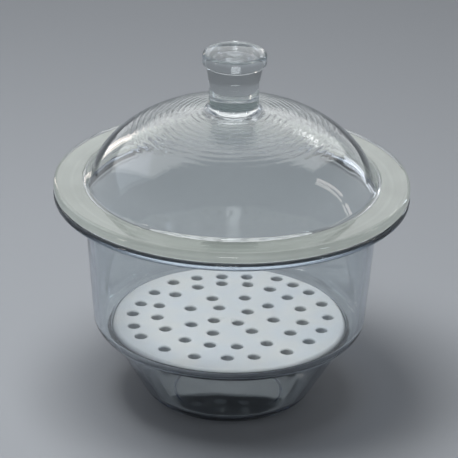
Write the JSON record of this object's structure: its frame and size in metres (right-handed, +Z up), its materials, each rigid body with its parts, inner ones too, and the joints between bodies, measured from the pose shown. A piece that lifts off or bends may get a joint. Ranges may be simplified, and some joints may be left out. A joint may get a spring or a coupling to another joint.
{
  "type": "glass desiccator",
  "caption": "Round glass drying vessel with a domed knob lid on flat ground flanges and a perforated porcelain plate over a tapered desiccant well.",
  "frame": {"origin": "centre of the foot, on the plane it stands on", "axes": "+Z up along the axis of revolution; X and Y are free, the plate's hole pattern is the only thing that marks them"},
  "size_m": [0.215, 0.215, 0.2277],
  "materials": {
    "clear_glass": "fire polished, ground flat and matt on the two flange faces",
    "glazed_porcelain": "glossy white glaze"
  },
  "bodies": {
    "vessel": {"base_vessel": "clear_glass"},
    "lid": {"lid_dome": "clear_glass", "lid_knob": "clear_glass"},
    "plate": {"perforated_plate": "glazed_porcelain"}
  },
  "joints": [
    {"name": "lid_lift", "type": "slide", "parent": "vessel", "child": "lid", "axis": [0, 0, 1], "range_m": [0, 0.16]},
    {"name": "plate_lift", "type": "slide", "parent": "vessel", "child": "plate", "axis": [0, 0, 1], "range_m": [0, 0.1]}
  ]
}
